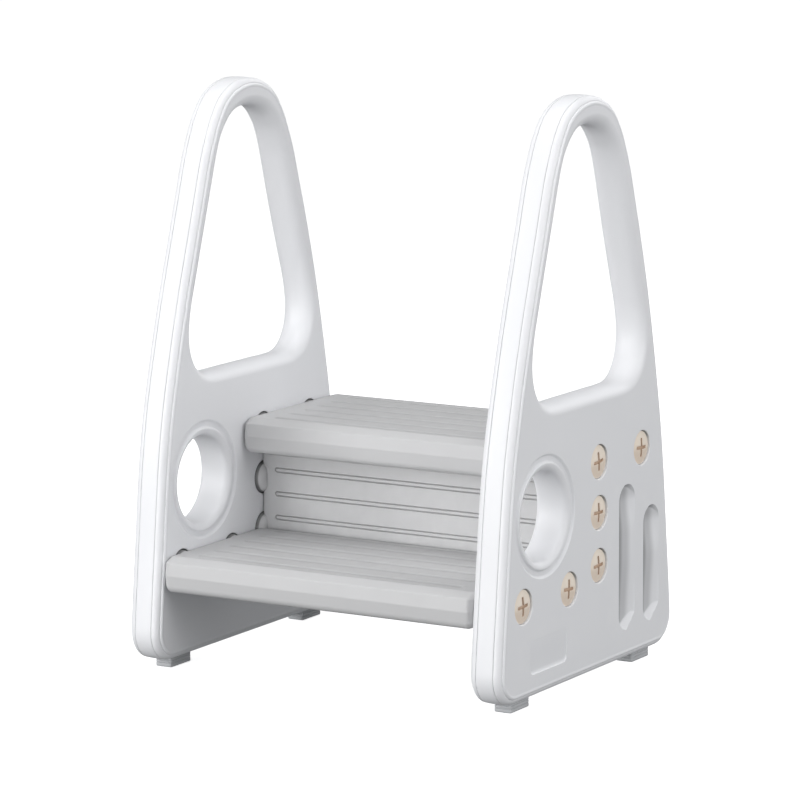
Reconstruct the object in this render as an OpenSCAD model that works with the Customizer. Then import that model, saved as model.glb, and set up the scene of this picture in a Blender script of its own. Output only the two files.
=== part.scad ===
// Two-step stool for a small child, with a handrail arch on each side.
// Two hollow side panels carry a lower tread, an upper tread and a riser board,
// which twelve plastic screws hold. Each panel stands on two rubber feet.
// Frame: X across the stool, Y towards its back, Z up, origin on the floor
// below the middle of the side panels. Millimetres.

/* [Side panels] */
// Distance from the middle of the stool to the middle plane of a panel
panel_x = 201.5; // [196:0.5:208]
// Thickness of a panel
panel_t = 38; // [37:0.5:40]
// Wall thickness of the hollow panels
panel_wall = 3; // [2.4:0.1:3.4]
// Height of the top of the handrail arch above the floor
arch_top = 600; // [597:1:604]
// Half depth of a panel at its foot
foot_half_depth = 184.5; // [183:0.5:186]
// Radius of the bottom corners of a panel
corner_r = 32; // [26:1:36]
// How far the handrail leans back at the top
arch_lean = 5; // [0:0.5:8]

/* [Porthole] */
// Porthole centre, measured from the middle of the stool
porthole_y = -94; // [-98:1:-90]
// Porthole height above the floor
porthole_z = 190.8; // [186:0.2:195]
// Clear radius of the porthole
porthole_r = 46; // [40:1:48]
// Radius of the rounded lip around the porthole
lip_r = 7; // [5:0.5:8]
// Outer radius of the recessed ring around the lip
ring_r = 62.6; // [60:0.2:64]
// Depth of the recessed ring
ring_depth = 1.8; // [0.6:0.2:2.4]

/* [Treads] */
// Height of the top of the lower tread
lower_top = 122.5; // [119:0.5:125]
// Height of the top of the upper tread
upper_top = 244; // [240:0.5:247]
// Front edge of the lower tread
lower_front = -176; // [-178:1:-172]
// Front edge of the upper tread
upper_front = -23.4; // [-26:0.2:-20]
// Depth of a tread, front to back
tread_depth = 188.4; // [186:0.2:189]
// Thickness of a tread
tread_t = 36.5; // [35.5:0.5:38]
// Depth of the grip grooves in a tread
groove_depth = 1.2; // [0.4:0.2:1.8]

/* [Riser] */
// Front face of the riser board
riser_front = 14; // [13:0.5:15]
// Thickness of the riser board
riser_t = 16; // [15:0.5:17]
// Bottom of the riser board
riser_bottom = 91; // [88:1:94]
// Top of the riser board
riser_top = 203; // [199:1:205]

/* [Screws] */
// Radius of a screw head
head_r = 17.2; // [15:0.1:17.6]
// Height of a screw head at its middle
head_h = 6; // [5:0.5:6.5]
// Outer radius of the screw thread
thread_r = 5.8; // [5:0.1:6]
// Length of a screw below its head
shank_length = 62; // [50:1:64]

/* [Feet] */
// Height of a foot below its panel
foot_h = 10.5; // [8:0.5:12]
// Width of a foot
foot_w = 19.7; // [16:0.1:20]
// Length of a foot, front to back
foot_length = 38; // [34:1:42]
// Distance from the middle of the stool to the middle of a foot
foot_y = 128.5; // [124:0.5:132]

/* [Hidden] */
$fn = 64;

left = -1;
right = 1;
overshoot = 1;
half_t = panel_t / 2;
panel_gap = 0.3;
tread_half = panel_x - half_t - panel_gap;

// Screw axes as [y, z]; the two on the riser share one y
riser_screw_y = 20.5;
lower_front_screw = [-137, 107.2];
lower_rear_screw = [-42.5, 107.2];
riser_lower_screw = [riser_screw_y, 120];
riser_upper_screw = [riser_screw_y, 174.8];
upper_front_screw = [riser_screw_y, 227.2];
upper_rear_screw = [113, 227.2];
screw_axes = [
    lower_front_screw, lower_rear_screw, riser_lower_screw,
    riser_upper_screw, upper_front_screw, upper_rear_screw
];

// Screw seat: a pocket outside, a clearance hole, and a socket inside for the
// round boss of the tread or riser
pocket_r = head_r + 1.4;
pocket_depth = 7;
pocket_floor = half_t - pocket_depth;
hole_r = thread_r + 0.5;
boss_r = 16.6;
boss_into_panel = 5.5;
boss_on_tread = 9;
socket_r = boss_r + 1;
socket_depth = boss_into_panel + 0.5;
thread_bore_r = thread_r + 0.05;
thread_wall = 2;
bore_clearance = 2;
thread_pitch = 4;
thread_height = 0.9;
thread_turns = 8;
// One thread ring, as [change of radius, share of a turn]
thread_ring = [[-thread_height, 0.1], [0, 0.4], [0, 0.6], [-thread_height, 0.9]];
dome_rise = 1.6;
dome_steps = 6;
head_edge = 1;
cross_w = 4;
cross_length = 20;
cross_depth = 3;

// Rim of a panel: flat band in the middle, then an elliptical shoulder
band_half = 10.3;
shoulder_in = 6.5;
// Edge of the handle opening: flat throat, then a wide rounding to the face
throat_half = 7;
rounding_in = 13;
slab_steps = 5;

// Half width of a panel against height, from the arch down to the corner
side_guides = [
    [27, 595.5], [50, 583], [66, 563.5], [76, 545], [87, 519.5],
    [99.5, 481], [109.5, 450], [129, 386], [146, 320], [160, 255],
    [168.5, 198], [176, 128], [181.5, 76]
];
// Half width of the handle opening against height
opening_guides = [
    [22, 566.5], [36, 558.5], [46, 548], [53, 537.5], [61.5, 516], [79, 460],
    [98.5, 400], [107.6, 372], [111.8, 350], [111.2, 334], [106.5, 320],
    [97, 308.5], [83, 302], [64, 300]
];
opening_top = 570;
opening_bottom = 300;
opening_shift = 2.3;
opening_lean = 1.7;
curve_steps = 3;
corner_steps = 6;

// Upright recesses in the outer face, as [front y, bottom z, top z]
slots = [[63, 41.6, 194.5], [116.5, 41.8, 164.2]];
slot_w = 35;
slot_depth = 7;
slot_nose = 3;
lip_land = 1;
label_panel = [-86, 52];
label_size = [76, 35];
label_r = 7;
label_depth = 1;

// Nosing of a tread, measured back from its front edge and down from its top:
// a slope from the flat top to a ridge, a crease, and the foot of the nosing
nosing_slope = [14, 5];
nosing_ridge = 2;
nosing_crease = 18.5;
nosing_foot = 1.8;
tread_round = 8;
end_round = 9;
tread_wall = 3;
tread_floor = 5;
groove_count = 6;
groove_pitch = 29;
lower_groove_first = 30;
upper_groove_first = 22.5;
groove_curve_r = 8;
groove_end = 27;

// Heights of the long outlines pressed into the riser
pill_heights = [184.7, 159.2, 133.8, 108.3];
pill_h = 7.2;
pill_groove = 1.6;
pill_depth = 1.2;
pill_end = 17;
riser_round = 4;
riser_wall = 2.8;

plug_w = 11.5;
plug_length = 25;
plug_h = 8;
plug_gap = 0.25;
foot_groove = 1;
foot_groove_heights = [0.4, 0.7] * foot_h;
foot_chamfer = 1.5;

panel_colour = "#F3F4F6";
tread_colour = "#BDBEBE";
screw_colour = "#E2CBAA";
foot_colour = "#C4C6C8";

function ease(a) = let (s = min(1, max(0, a))) s * s * (3 - 2 * s);
function lean_at(z) = arch_lean * ease((z - 230) / 250);
function opening_middle(z) = opening_shift + opening_lean * ease((z - 420) / 120);

// A smooth curve through guide points; the first and last only steer it
function blend(a, b, c, d, t) = (2 * b + (c - a) * t + (2 * a - 5 * b + 4 * c - d) * t * t
    + (3 * b - a - 3 * c + d) * t * t * t) / 2;
function smooth_run(g) = [
    for (i = [1 : len(g) - 3])
        for (k = [0 : curve_steps - 1])
            blend(g[i - 1], g[i], g[i + 1], g[i + 2], k / curve_steps)
];
function arc(centre, r, from, to, steps) = [
    for (k = [0 : steps])
        let (a = from + (to - from) * k / steps)
            centre + r * [cos(a), sin(a)]
];
function reversed(p) = [for (i = [len(p) - 1 : -1 : 0]) p[i]];
// Closed loop with the points moved inwards by d; the loop runs clockwise
function inset(loop, d) = let (n = len(loop)) [
    for (i = [0 : n - 1])
        let (t = loop[(i + 1) % n] - loop[(i + n - 1) % n])
            loop[i] + d * [t[1], -t[0]] / norm(t)
];

corner_start = 5.7;
corner_centre = [foot_half_depth - corner_r, foot_h + corner_r];
half_side = concat(
    smooth_run(concat(
        [[-27, 595.5], [0, arch_top]], side_guides,
        [corner_centre + corner_r * [cos(corner_start), sin(corner_start)],
         corner_centre + corner_r * [cos(corner_start), -sin(corner_start)]]
    )),
    arc(corner_centre, corner_r, corner_start, -90, corner_steps)
);
panel_loop = concat(
    [for (p = half_side) [p[0] + lean_at(p[1]), p[1]]],
    [for (p = reversed([for (i = [1 : len(half_side) - 1]) half_side[i]]))
        [-p[0] + lean_at(p[1]), p[1]]]
);
half_opening = smooth_run(concat(
    [[-22, 566.5], [0, opening_top]], opening_guides, [[32, opening_bottom], [0, opening_bottom]]
));
opening_loop = concat(
    [for (p = half_opening) [p[0] + opening_middle(p[1]), p[1]]],
    [for (p = reversed([for (i = [1 : len(half_opening) - 1]) half_opening[i]]))
        [-p[0] + opening_middle(p[1]), p[1]]]
);

// Distance from the edge at which an elliptical rounding reaches half width h
function step_in(h, flat_half, width) =
    h <= flat_half ? 0
        : width * (1 - sqrt(max(0, 1 - pow((h - flat_half) / (half_t - flat_half), 2))));
slab_halves = [for (k = [0 : slab_steps - 1])
    throat_half + (half_t - throat_half) * sin(90 * k / (slab_steps - 1))];

// Extrudes a (y, z) drawing along X, centred on the middle plane
module along_x(length) {
    rotate([90, 0, 90])
        linear_extrude(height = length, center = true)
            children();
}

// Round bar along X from x0 to x1 about the axis at (y, z) = at
module bar_x(at, x0, x1, r) {
    translate([x0, at[0], at[1]])
        rotate([0, 90, 0])
            cylinder(h = x1 - x0, r = r);
}

module rounded_rect(size, r) {
    square([size[0] - 2 * r, size[1]], center = true);
    square([size[0], size[1] - 2 * r], center = true);
    for (sx = [-1, 1])
        for (sy = [-1, 1])
            translate([sx * (size[0] / 2 - r), sy * (size[1] / 2 - r)])
                circle(r = r);
}

// One slab of the panel: its half thickness, and how far its edges step in
module slab(half, rim_in, opening_out) {
    along_x(2 * half)
        difference() {
            polygon(inset(panel_loop, rim_in));
            polygon(inset(opening_loop, -opening_out));
        }
}

// Hollow inside a panel, clear of every seat, pocket and recess
module panel_hollow() {
    core_half = pocket_floor - panel_wall;
    difference() {
        union() {
            slab(core_half, panel_wall, panel_wall);
            slab(half_t - panel_wall, shoulder_in + panel_wall, rounding_in + panel_wall);
        }
        for (s = screw_axes)
            bar_x(s, -panel_t, panel_t, hole_r + panel_wall);
        bar_x([porthole_y, porthole_z], -panel_t, panel_t, porthole_r + panel_wall);
        for (side = [-1, 1])
            scale([side, 1, 1]) {
                for (s = screw_axes)
                    bar_x(s, core_half, panel_t, pocket_r + panel_wall);
                bar_x([porthole_y, porthole_z], core_half, panel_t, ring_r + panel_wall);
            }
        for (s = slots)
            translate([core_half, s[0] - panel_wall, s[1] - panel_wall])
                cube([panel_t, slot_w + 2 * panel_wall, s[2] - s[1] + 2 * panel_wall]);
        for (y = [-foot_y, foot_y])
            translate([-plug_w / 2 - panel_wall, y - plug_length / 2 - panel_wall, 0])
                cube([plug_w + 2 * panel_wall, plug_length + 2 * panel_wall,
                      foot_h + plug_h + 2 * panel_wall]);
    }
}

// Ring-shaped cut that rounds the porthole's lip on the +X face
module lip_cut() {
    lip_centre = porthole_r + lip_r;
    translate([0, porthole_y, porthole_z])
        rotate([0, 90, 0])
            rotate_extrude()
                difference() {
                    translate([porthole_r - overshoot, half_t - lip_r])
                        square([lip_r + overshoot, lip_r + overshoot]);
                    translate([lip_centre, half_t - lip_r])
                        circle(r = lip_r);
                }
}

module ring_cut() {
    difference() {
        bar_x([porthole_y, porthole_z], half_t - ring_depth, half_t + overshoot, ring_r);
        bar_x([porthole_y, porthole_z], 0, panel_t, porthole_r + lip_r + lip_land);
    }
}

// Upright recess: deep at its front wall, running out level at the back
module slot_cut(s) {
    middle = (s[1] + s[2]) / 2;
    intersection() {
        translate([half_t, s[0] + slot_w / 2, middle])
            along_x(2 * slot_depth)
                rounded_rect([slot_w, s[2] - s[1]], slot_w / 2 - 0.01);
        translate([0, 0, s[1]])
            linear_extrude(height = s[2] - s[1])
                polygon([
                    [half_t + overshoot, s[0]],
                    [half_t - slot_depth, s[0]],
                    [half_t - slot_depth, s[0] + slot_nose],
                    [half_t, s[0] + slot_w],
                    [half_t + overshoot, s[0] + slot_w]
                ]);
    }
}

// A panel about its own middle plane, with its outer face towards +X
module panel_shape() {
    difference() {
        union() {
            for (h = slab_halves)
                slab(h, step_in(h, band_half, shoulder_in), step_in(h, throat_half, rounding_in));
        }
        panel_hollow();
        bar_x([porthole_y, porthole_z], -panel_t, panel_t, porthole_r);
        for (side = [-1, 1])
            scale([side, 1, 1]) {
                lip_cut();
                ring_cut();
            }
        for (s = screw_axes) {
            bar_x(s, -panel_t, panel_t, hole_r);
            bar_x(s, pocket_floor, panel_t, pocket_r);
            bar_x(s, -panel_t, socket_depth - half_t, socket_r);
        }
        for (s = slots)
            slot_cut(s);
        translate([half_t, label_panel[0], label_panel[1]])
            along_x(2 * label_depth)
                rounded_rect(label_size, label_r);
        for (y = [-foot_y, foot_y])
            translate([-plug_w / 2, y - plug_length / 2, 0])
                cube([plug_w, plug_length, foot_h + plug_h]);
    }
}

module side_panel(side) {
    color(panel_colour)
        scale([side, 1, 1])
            translate([panel_x, 0, 0])
                panel_shape();
}

// Cross section of a tread about its front edge and top face
tread_section = concat(
    [[nosing_slope[0], 0], [nosing_ridge, -nosing_slope[1]], [0, -nosing_crease]],
    arc([nosing_foot + tread_round, tread_round - tread_t], tread_round, 180, 270, corner_steps),
    arc([tread_depth - tread_round, tread_round - tread_t], tread_round, 270, 360, corner_steps),
    arc([tread_depth - tread_round, -tread_round], tread_round, 0, 90, corner_steps)
);

// Round bosses with their thread bores, on both ends, at the given axes
module end_bosses(axes) {
    for (side = [-1, 1])
        scale([side, 1, 1])
            for (s = axes)
                bar_x(s, tread_half - boss_on_tread,
                      tread_half + panel_gap + boss_into_panel, boss_r);
}

module thread_bores(axes) {
    bore_end = panel_x + pocket_floor - shank_length - bore_clearance;
    for (side = [-1, 1])
        scale([side, 1, 1])
            for (s = axes)
                bar_x(s, bore_end, panel_x, thread_bore_r);
}

// Tubes of solid wall around the thread bores inside a hollow tread or riser
module bore_walls(axes) {
    wall_end = panel_x + pocket_floor - shank_length - bore_clearance - thread_wall;
    for (side = [-1, 1])
        scale([side, 1, 1])
            for (s = axes)
                bar_x(s, wall_end, panel_x, thread_bore_r + thread_wall);
}

module tread(front, top, axes, groove_first) {
    middle = front + tread_depth / 2;
    color(tread_colour)
        difference() {
            union() {
                intersection() {
                    translate([0, front, top])
                        along_x(2 * tread_half)
                            polygon(tread_section);
                    translate([0, middle, 0])
                        linear_extrude(height = top + overshoot)
                            rounded_rect([2 * tread_half, tread_depth], end_round);
                    translate([0, 0, top - tread_t / 2])
                        rotate([90, 0, 0])
                            linear_extrude(height = 4 * tread_depth, center = true)
                                rounded_rect([2 * tread_half, tread_t], end_round);
                }
                end_bosses(axes);
            }
            for (k = [0 : groove_count - 1])
                bar_x([front + groove_first + k * groove_pitch,
                       top + groove_curve_r - groove_depth],
                      groove_end - tread_half, tread_half - groove_end, groove_curve_r);
            difference() {
                translate([-tread_half + tread_wall, front + 2 * tread_wall,
                           top - tread_t + tread_wall])
                    cube([2 * (tread_half - tread_wall), tread_depth - 3 * tread_wall,
                          tread_t - tread_wall - tread_floor]);
                bore_walls(axes);
            }
            thread_bores(axes);
        }
}

module lower_tread() {
    tread(lower_front, lower_top, [lower_front_screw, lower_rear_screw], lower_groove_first);
}

module upper_tread() {
    tread(upper_front, upper_top, [upper_front_screw, upper_rear_screw], upper_groove_first);
}

// Long outline with round ends, pressed into the riser's front face
module pill_groove_cut(z) {
    length = 2 * (tread_half - pill_end);
    translate([0, riser_front + pill_depth, z])
        rotate([90, 0, 0])
            linear_extrude(height = pill_depth + overshoot)
                difference() {
                    rounded_rect([length, pill_h], pill_h / 2 - 0.01);
                    rounded_rect([length - 2 * pill_groove, pill_h - 2 * pill_groove],
                                 pill_h / 2 - pill_groove - 0.01);
                }
}

module riser_board() {
    axes = [riser_lower_screw, riser_upper_screw];
    height = riser_top - riser_bottom;
    color(tread_colour)
        difference() {
            union() {
                translate([0, riser_front + riser_t / 2, riser_bottom + height / 2])
                    along_x(2 * tread_half)
                        rounded_rect([riser_t, height], riser_round);
                end_bosses(axes);
            }
            for (z = pill_heights)
                pill_groove_cut(z);
            difference() {
                translate([-tread_half + riser_wall, riser_front + riser_wall + pill_depth,
                           riser_bottom + riser_wall])
                    cube([2 * (tread_half - riser_wall), riser_t - 2 * riser_wall - pill_depth,
                          height - 2 * riser_wall]);
                bore_walls(axes);
            }
            thread_bores(axes);
        }
}

// Cross section of a screw: domed head, shank and thread rings, head upwards
module screw_section() {
    dome_r = (head_r * head_r + dome_rise * dome_rise) / (2 * dome_rise);
    dome_span = asin((head_r - head_edge) / dome_r);
    thread_top = thread_pitch * thread_turns - shank_length;
    polygon(concat(
        [[0, -shank_length]],
        [for (k = [0 : thread_turns - 1])
            for (p = thread_ring)
                [thread_r + p[0], (k + p[1]) * thread_pitch - shank_length]],
        [[thread_r, thread_top], [thread_r, 0], [head_r - head_edge, 0],
         [head_r, head_edge], [head_r, head_h - dome_rise]],
        [for (k = [0 : dome_steps])
            let (a = dome_span * (1 - k / dome_steps))
                [dome_r * sin(a), head_h - dome_r * (1 - cos(a))]]
    ));
}

module screw(side, at) {
    color(screw_colour)
        scale([side, 1, 1])
            translate([panel_x + pocket_floor, at[0], at[1]])
                rotate([0, 90, 0])
                    difference() {
                        rotate_extrude()
                            screw_section();
                        for (turn = [0, 90])
                            rotate([0, 0, turn])
                                translate([-cross_length / 2, -cross_w / 2, head_h - cross_depth])
                                    cube([cross_length, cross_w, 2 * cross_depth]);
                    }
}

module foot(side, y) {
    color(foot_colour)
        translate([side * panel_x, y, 0])
            difference() {
                union() {
                    translate([-foot_w / 2 + foot_chamfer, -foot_length / 2 + foot_chamfer, 0])
                        cube([foot_w - 2 * foot_chamfer, foot_length - 2 * foot_chamfer, foot_h]);
                    translate([-foot_w / 2, -foot_length / 2, foot_chamfer])
                        cube([foot_w, foot_length, foot_h - foot_chamfer]);
                    translate([-plug_w / 2 + plug_gap, -plug_length / 2 + plug_gap, foot_chamfer])
                        cube([plug_w - 2 * plug_gap, plug_length - 2 * plug_gap,
                              foot_h + plug_h - 2 * foot_chamfer]);
                }
                for (z = foot_groove_heights)
                    difference() {
                        translate([-foot_w, -foot_length, z - foot_groove / 2])
                            cube([2 * foot_w, 2 * foot_length, foot_groove]);
                        translate([-foot_w / 2 + foot_groove, -foot_length / 2 + foot_groove, 0])
                            cube([foot_w - 2 * foot_groove, foot_length - 2 * foot_groove, foot_h]);
                    }
            }
}

side_panel(left);  // left_side_panel
side_panel(right);  // right_side_panel
lower_tread();
upper_tread();
riser_board();
screw(left, lower_front_screw);  // left_lower_tread_front_screw
screw(left, lower_rear_screw);  // left_lower_tread_rear_screw
screw(left, riser_lower_screw);  // left_riser_lower_screw
screw(left, riser_upper_screw);  // left_riser_upper_screw
screw(left, upper_front_screw);  // left_upper_tread_front_screw
screw(left, upper_rear_screw);  // left_upper_tread_rear_screw
screw(right, lower_front_screw);  // right_lower_tread_front_screw
screw(right, lower_rear_screw);  // right_lower_tread_rear_screw
screw(right, riser_lower_screw);  // right_riser_lower_screw
screw(right, riser_upper_screw);  // right_riser_upper_screw
screw(right, upper_front_screw);  // right_upper_tread_front_screw
screw(right, upper_rear_screw);  // right_upper_tread_rear_screw
foot(left, -foot_y);  // left_front_foot
foot(left, foot_y);  // left_rear_foot
foot(right, -foot_y);  // right_front_foot
foot(right, foot_y);  // right_rear_foot
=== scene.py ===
import math

import bmesh
import bpy
import numpy as np
from mathutils import Matrix, Vector
from mathutils.geometry import delaunay_2d_cdt


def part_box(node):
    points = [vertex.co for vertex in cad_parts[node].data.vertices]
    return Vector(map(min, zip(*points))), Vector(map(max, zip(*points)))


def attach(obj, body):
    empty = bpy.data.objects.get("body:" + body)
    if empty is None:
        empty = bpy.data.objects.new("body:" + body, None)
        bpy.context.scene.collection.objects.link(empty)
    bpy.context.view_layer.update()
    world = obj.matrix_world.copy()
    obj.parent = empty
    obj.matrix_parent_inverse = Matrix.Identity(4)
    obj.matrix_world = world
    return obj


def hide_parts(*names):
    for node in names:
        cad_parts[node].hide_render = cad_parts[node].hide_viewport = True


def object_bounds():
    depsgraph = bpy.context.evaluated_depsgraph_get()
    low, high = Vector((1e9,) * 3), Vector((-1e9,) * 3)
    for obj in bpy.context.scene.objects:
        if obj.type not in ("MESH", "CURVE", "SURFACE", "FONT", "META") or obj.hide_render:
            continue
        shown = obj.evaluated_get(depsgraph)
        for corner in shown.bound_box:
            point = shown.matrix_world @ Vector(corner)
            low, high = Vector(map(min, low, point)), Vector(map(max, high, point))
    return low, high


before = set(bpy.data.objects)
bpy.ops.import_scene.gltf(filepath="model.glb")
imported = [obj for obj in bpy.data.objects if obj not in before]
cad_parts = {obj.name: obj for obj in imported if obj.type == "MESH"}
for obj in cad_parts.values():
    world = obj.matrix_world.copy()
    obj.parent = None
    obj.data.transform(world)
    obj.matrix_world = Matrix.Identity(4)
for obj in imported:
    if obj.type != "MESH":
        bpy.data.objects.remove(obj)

# Two-step stool with a handrail on each side. Every CAD node is replaced by a
# detailed mesh in the same place. Shapes are worked out in millimetres: X across
# the stool, Y towards its back, Z up. The blow-moulded panels, treads and riser
# are closed skins, and left and right pieces mirror each other, threads included.

cad_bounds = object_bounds()
MM = 0.001
BODY = "root"


def box_mm(node):
    """Lowest and highest corner of a CAD node, in millimetres."""
    low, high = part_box(node)
    return low / MM, high / MM


# ---------------------------------------------------------------- sizes, mm

# Side panel: places come from its CAD box, and its outline is the same as in the
# CAD model. A lean is a slow shift of the arch towards the back, given by its
# size, the height where it starts and the height over which it grows.
panel_low, panel_high = box_mm("right_side_panel")
PANEL_X = (panel_low.x + panel_high.x) / 2
HALF_T = (panel_high.x - panel_low.x) / 2
ARCH_TOP = panel_high.z
PANEL_FOOT = panel_low.z
FOOT_HALF_DEPTH = -panel_low.y
FACE = HALF_T - 0.4
CORNER_R = 32
CORNER_START = 5.7
ARCH_LEAN = (5, 230, 250)
SIDE_GUIDES = [
    (27, 595.5), (50, 583), (66, 563.5), (76, 545), (87, 519.5),
    (99.5, 481), (109.5, 450), (129, 386), (146, 320), (160, 255),
    (168.5, 198), (176, 128), (181.5, 76),
]
OPENING_GUIDES = [
    (22, 566.5), (36, 558.5), (46, 548), (53, 537.5), (61.5, 516), (79, 460),
    (98.5, 400), (107.6, 372), (111.8, 350), (111.2, 334), (106.5, 320),
    (97, 308.5), (83, 302), (64, 300),
]
OPENING_TOP = 570
OPENING_BOTTOM = 300
OPENING_SHIFT = 2.3
OPENING_LEAN = (1.7, 420, 120)
OUTLINE_SPACING = 3.5
OPENING_SPACING = 3.0
CURVE_STEPS = 12

# Rim of a panel: crowned middle band, a fine groove, a shoulder and a bead. The
# shoulder has its radius across the rim, its radius inwards and its end angle.
CROWN_HALF = 9.1
CROWN_DROP = 0.35
RIM_GROOVE_HALF = 0.6
RIM_GROOVE_DEPTH = 0.6
SHOULDER = (7.1, 7.4, 72)
BEAD_FOOT = (16.7, 5.9)
BEAD_CREST_IN = 8.4
BEAD_END_IN = 10.6
# Handle opening: half width of its flat throat, and how far its rounding reaches
THROAT_HALF = 2.0
ROUNDING_IN = 12.4

# Porthole: throat, rounded lip, and a shallow ring around the lip
PORTHOLE = (-94.0, 190.8)
PORTHOLE_R = 46.0
PORTHOLE_THROAT_HALF = 6.0
LIP_R = 7.0
RING_DEPTH = 2.4
RING_FLOOR = (55.6, 59.4)
RING_R = 62.8

# Screw seats in a panel, and the screws
POCKET_R = 17.9
POCKET_FLOOR = HALF_T - 7
HOLE_R = 6.3
SOCKET_R = 17.6
SOCKET_FLOOR = 6 - HALF_T
SEAT_FILLET = 1.1
SEAT_FLOOR_FILLET = 0.5
HOLE_FILLET = 0.4
FILLET_STEPS = 5
HEAD_R = 17.2
HEAD_H = 6.0
DOME_RISE = 1.6
CROSS_LENGTH = 20.0
CROSS_W = 3.6
CROSS_DEPTH = 2.8
THREAD_R = 5.8
THREAD_PITCH = 4.0
THREAD_HEIGHT = 0.9
THREADED = 34.0
SHANK = 62.0
BORE_GAP = 0.1
BOSS_R = 16.5
BOSS_NECK_R = 15.5
BOSS_INTO_PANEL = 5.4

# Upright recesses in the outer face, as (front y, bottom z, top z). Near each end
# the floor changes to a softer hollow: END gives how far from that end the change
# starts, and over what distance it is made.
SLOTS = [(63.0, 41.6, 194.5), (116.5, 41.8, 164.2)]
SLOT_W = 35.0
SLOT_DEPTH = 8.0
SLOT_END_DEPTH = 6.6
SLOT_END_FALL = 3.8
SLOT_LOWER_END = (78, 60)
SLOT_UPPER_END = (52, 34)
# Ramp at a slot's lower end: depth gained for each mm up, depth lost for each mm
# back, and how far above the face it starts, at the slot's middle
SLOT_RAMP = (0.47, 0.43, 0.1)
# Slope of a slot's wall, and how much gentler it gets at the upper rear
SLOT_WALL = 3.7
SLOT_WALL_EASED = 2.8
# Label recess: its middle as (y, z), its size and its corners' radius, then its depth
# at the lower edge, how much less that is at the top, and the slope of its wall
LABEL = (-86.0, 52.0)
LABEL_SIZE = (76.0, 35.0)
LABEL_R = 7.0
LABEL_DEPTH = 1.5
LABEL_RISE = 1.35
LABEL_WALL = 1.05

# Treads, and the riser between them
PANEL_GAP = 0.3
TREAD_HALF = PANEL_X - HALF_T - PANEL_GAP
TREAD_T = 36.5
TREAD_DEPTH = 188.4
GROOVE_COUNT = 6
GROOVE_PITCH = 29.0
GROOVE_FIRST = {"lower_tread": 30.0, "upper_tread": 22.5}
GROOVE_DEPTH = 1.2
GROOVE_R = 8.0
GRIP_END = TREAD_HALF - 27.0
GRIP_RUN_OUT = 3.5
RISER_T = 16.0
RISER_BEFORE_AXIS = 6.5
PILL_HEIGHTS = [184.7, 159.2, 133.8, 108.3]
PILL_H = 6.2
PILL_GROOVE = 1.9
PILL_DEPTH = 1.8
PILL_END = 17.0

# Plug on top of a foot: width, length and height
PLUG = (11.0, 24.5, 6.5)

# Painted shade in creases, recesses and gaps, under a pocket's upper edge and on the lower half
# of a screw head, from 0 to 1
RIM_PAINTED_SHADE = 0.3
BEAD_PAINTED_SHADE = 0.24
SOCKET_PAINTED_SHADE = 0.75
POCKET_PAINTED_SHADOW = 0.55
BOSS_PAINTED_SHADE = 0.65
GRIP_PAINTED_SHADE = 0.2
PILL_PAINTED_SHADE = 0.28
CROSS_PAINTED_SHADE = 0.62
HEAD_PAINTED_SHADE = 0.24
# Painted shade across a slot, as (darkness, where it starts to fade, over what part of the
# width)
SLOT_PAINTED_SHADES = [(0.3, 0.5, 0.32), (0.32, 0.26, 0.14)]
# Painted shadow at a slot's top, as (darkness, how far below the top it starts, over what
# height)
SLOT_TOP_PAINTED_SHADOW = (0.2, 20, 12)


# ---------------------------------------------------------------- curves

def ease(a):
    """0 below 0, 1 above 1, and a smooth S between."""
    s = np.clip(a, 0.0, 1.0)
    return s * s * (3 - 2 * s)


def leaning(lean, z):
    """How far a lean has shifted its outline at a height."""
    most, start, over = lean
    return most * ease((z - start) / over)


def smooth_run(guides):
    """Points of a smooth curve through the guides; the first and last only steer it."""
    g = [np.array(p, float) for p in guides]
    run = []
    for a, b, c, d in zip(g, g[1:], g[2:], g[3:]):
        for t in np.arange(CURVE_STEPS) / CURVE_STEPS:
            run.append((2 * b + (c - a) * t + (2 * a - 5 * b + 4 * c - d) * t * t
                        + (3 * b - a - 3 * c + d) * t ** 3) / 2)
    return run


def arc(centre, r, start, end, steps):
    """Points on a circle between two angles in degrees."""
    angles = np.radians(np.linspace(start, end, steps + 1))
    return [np.array(centre) + r * np.array([math.cos(a), math.sin(a)]) for a in angles]


def even_loop(points, spacing):
    """A closed line's points moved along it to even distances."""
    p = np.array(list(points) + [points[0]])
    run = np.concatenate([[0], np.cumsum(np.linalg.norm(np.diff(p, axis=0), axis=1))])
    at = np.linspace(0, run[-1], round(run[-1] / spacing), endpoint=False)
    return np.stack([np.interp(at, run, p[:, 0]), np.interp(at, run, p[:, 1])], axis=1)


def inset(loop, distance):
    """A clockwise loop's points moved inwards."""
    along = np.roll(loop, -1, axis=0) - np.roll(loop, 1, axis=0)
    inward = np.stack([along[:, 1], -along[:, 0]], axis=1)
    return loop + distance * inward / np.linalg.norm(inward, axis=1)[:, None]


def mirrored_loop(half, middle):
    """A clockwise loop from its +Y half, about a middle line that depends on height."""
    back = [(middle(z) + y, z) for y, z in half]
    front = [(middle(z) - y, z) for y, z in reversed(half[1:])]
    return back + front


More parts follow.
